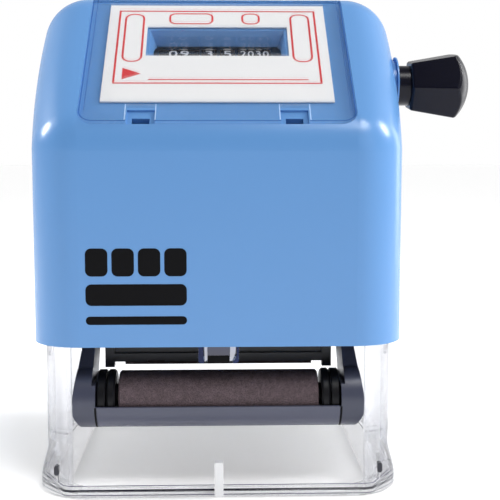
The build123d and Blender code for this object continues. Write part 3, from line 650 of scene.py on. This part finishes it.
def foot_details():
    for shade_line in SHADE_LINES:
        foot_shade_line(*shade_line)
    bm = bmesh.new()
    slab(bm, rounded(*CENTRE_MARK, CENTRE_MARK_ROUND, 2), on_plane(CENTRE_MARK_Y), 0, CENTRE_MARK_DEPTH)
    mark = piece("centre_mark", bm, whitish, "base")
    low, high = PLUG_Z
    for side, word in SIDES:
        x = side * PLUG_X
        bm = bmesh.new()
        slab(bm, rounded(x - PLUG_HALF_X, low, x + PLUG_HALF_X, high, PLUG_ROUND, 4), on_plane(PLUG_Y),
             0, PLUG_DEPTH)
        plug = piece("port_plug_" + word, bm, edge_dark, "base")


# ---- the clear catch, where it shows below the housing ----
LATCH_FACE_Y = -31.2
LATCH_LOW = 0.01
LATCH_PARTS = (                # piece, finish, how far it stands out, and its outlines as x and z
    ("latch_edges", latch_blue, 0.1,
     (((-4.15, 28.2), (-3.7, 27.85), (-2.95, 27.85), (-3.3, 31.5), (-4.15, 31.5)),
      ((2.9, 27.85), (3.7, 27.85), (4.15, 28.2), (4.15, 31.5), (3.85, 31.5), (3.75, 29.4)))),
    ("latch_ribs", latch_white, 0.12,
     (((-2.85, 28.2), (-2.3, 28.6), (-2.3, 31.5), (-2.95, 31.5)),
      ((2.3, 28.3), (2.8, 28.4), (3.5, 30.0), (3.55, 31.5), (2.4, 31.5)))),
    ("latch_web", latch_grey, 0.06,
     (((-2.25, 29.5), (2.25, 29.5), (2.35, 31.5), (-2.25, 31.5)),)),
)


def latch_details():
    """Dark blue edge strips, pale ribs and the grey web between them."""
    for name, shader, high, outlines in LATCH_PARTS:
        bm = bmesh.new()
        for outline in outlines:
            slab(bm, outline, on_plane(LATCH_FACE_Y), LATCH_LOW, high)
        piece(name, bm, shader, "head")


# ---- joints between the roller tray and the arms ----
ROLLER_Y = -24.5
ROLLER_Z = 19.5
TRAY_R = 6.5
TRAY_TOP_ANGLE = 9             # degrees below level, seen from the roller's axis
TRAY_LOW_ANGLE = 76
SEAM_X = 25.6
SEAM_WIDTH = 0.36
SEAM_SUNK = 0.02
SEAM_PROUD = 0.03


def tray_seams():
    """The dark joint between the tray and each arm."""
    inner, outer = TRAY_R - SEAM_SUNK, TRAY_R + SEAM_PROUD
    bm = bmesh.new()
    for side, _ in SIDES:
        x0, x1 = side * SEAM_X - SEAM_WIDTH / 2, side * SEAM_X + SEAM_WIDTH / 2
        rings = []
        for below in range(TRAY_TOP_ANGLE, TRAY_LOW_ANGLE + 1):
            angle = radians(below)
            ring = []
            for x, r in ((x0, inner), (x1, inner), (x1, outer), (x0, outer)):
                spot = (x, ROLLER_Y - r * cos(angle), ROLLER_Z - r * sin(angle))
                ring.append(bm.verts.new(Vector(spot) * MM))
            rings.append(ring)
        tube(bm, rings)
    piece("tray_seams", bm, black_ink, "arms")


card_print()
cover_lines()
housing_print()
for band in BANDS:
    band_figures(*band)
for side, word in SIDES:
    spring(side, word)
foot_details()
latch_details()
tray_seams()


# ---- floor, light and camera. Places are in metres ----
def floor():
    half = 3.0
    corners = [(-half, -half, 0), (half, -half, 0), (half, half, 0), (-half, half, 0)]
    mesh = bpy.data.meshes.new("floor")
    mesh.from_pydata(corners, [], [(0, 1, 2, 3)])
    plane = bpy.data.objects.new("floor", mesh)
    bpy.context.scene.collection.objects.link(plane)
    paint = Shader("floor_paint")
    paint.set(Base_Color=(0.92, 0.92, 0.92, 1), Roughness=0.8, Specular_IOR_Level=0.2,
              Emission_Color=(1, 1, 1, 1), Emission_Strength=0.22)
    plane.data.materials.append(paint.material)


def soft_box(name, place, aim, width, height, power):
    """An oval lamp at a place, aimed at a point."""
    light = bpy.data.lights.new(name, "AREA")
    light.shape = "ELLIPSE"
    light.size = width
    light.size_y = height
    light.energy = power
    lamp = bpy.data.objects.new(name, light)
    bpy.context.scene.collection.objects.link(lamp)
    lamp.location = place
    lamp.rotation_euler = (Vector(aim) - Vector(place)).to_track_quat("-Z", "Y").to_euler()


def broad_light(name, strength, spread, azimuth, elevation):
    """Even light from far away. Azimuth 0 is on the user's side, 90 on the knob's."""
    light = bpy.data.lights.new(name, "SUN")
    light.energy = strength
    light.angle = radians(spread)
    lamp = bpy.data.objects.new(name, light)
    bpy.context.scene.collection.objects.link(lamp)
    round_z, up = radians(azimuth), radians(elevation)
    source = Vector((sin(round_z) * cos(up), -cos(round_z) * cos(up), sin(up)))
    lamp.rotation_euler = source.to_track_quat("Z", "Y").to_euler()


def world(level, slope, least):
    """A white backdrop for the camera. The object is lit by a studio that brightens along slope."""
    studio = bpy.data.worlds.new("studio")
    studio.use_nodes = True
    tree = studio.node_tree
    way = tree.nodes.new("ShaderNodeTexCoord")
    dot = tree.nodes.new("ShaderNodeVectorMath")
    dot.operation = "DOT_PRODUCT"
    dot.inputs[1].default_value = slope
    add = tree.nodes.new("ShaderNodeMath")
    add.inputs[1].default_value = level
    most = tree.nodes.new("ShaderNodeMath")
    most.operation = "MAXIMUM"
    most.inputs[1].default_value = least
    path = tree.nodes.new("ShaderNodeLightPath")
    backdrop = tree.nodes.new("ShaderNodeMath")
    backdrop.operation = "MAXIMUM"
    tree.links.new(way.outputs["Generated"], dot.inputs[0])
    tree.links.new(dot.outputs["Value"], add.inputs[0])
    tree.links.new(add.outputs["Value"], most.inputs[0])
    tree.links.new(most.outputs["Value"], backdrop.inputs[0])
    tree.links.new(path.outputs["Is Camera Ray"], backdrop.inputs[1])
    tree.links.new(backdrop.outputs["Value"], tree.nodes["Background"].inputs["Strength"])
    tree.nodes["Background"].inputs["Color"].default_value = (1, 1, 1, 1)
    bpy.context.scene.world = studio


def camera():
    """The photograph's view, from 24 cm in front and a little above the middle."""
    look_down, look_right = 6.0, 1.85
    data = bpy.data.cameras.new("camera")
    data.sensor_width = 36.0
    data.lens = 75.6
    data.shift_x = -0.002
    data.shift_y = 0.0032
    eye = bpy.data.objects.new("camera", data)
    eye.location = (-0.0002, -0.2444, 0.0734)
    eye.rotation_euler = Euler((radians(90 - look_down), 0, radians(-look_right)))
    data.clip_start = 0.01
    bpy.context.scene.collection.objects.link(eye)
    bpy.context.scene.camera = eye


floor()
world(level=0.5, slope=(0.08, 0.38, -0.4), least=0.06)
broad_light("left", 0.4, spread=30, azimuth=-105, elevation=34)
broad_light("right", 0.35, spread=30, azimuth=93, elevation=34)
broad_light("above", 1.7, spread=24, azimuth=36, elevation=56)
middle = (0, 0, 0.07)
soft_box("glint_left", (-0.49, 0.11, 0.33), middle, width=0.07, height=0.16, power=1.6)
soft_box("glint_right", (0.49, 0.01, 0.37), middle, width=0.08, height=0.2, power=1.7)
soft_box("rim_right", (0.5, 0.3, 0.15), middle, width=0.2, height=0.4, power=0.5)
soft_box("front_right", (0.45, -0.7, 0.35), middle, width=0.5, height=0.5, power=0.4)
camera()
bpy.context.scene.view_settings.view_transform = "Standard"
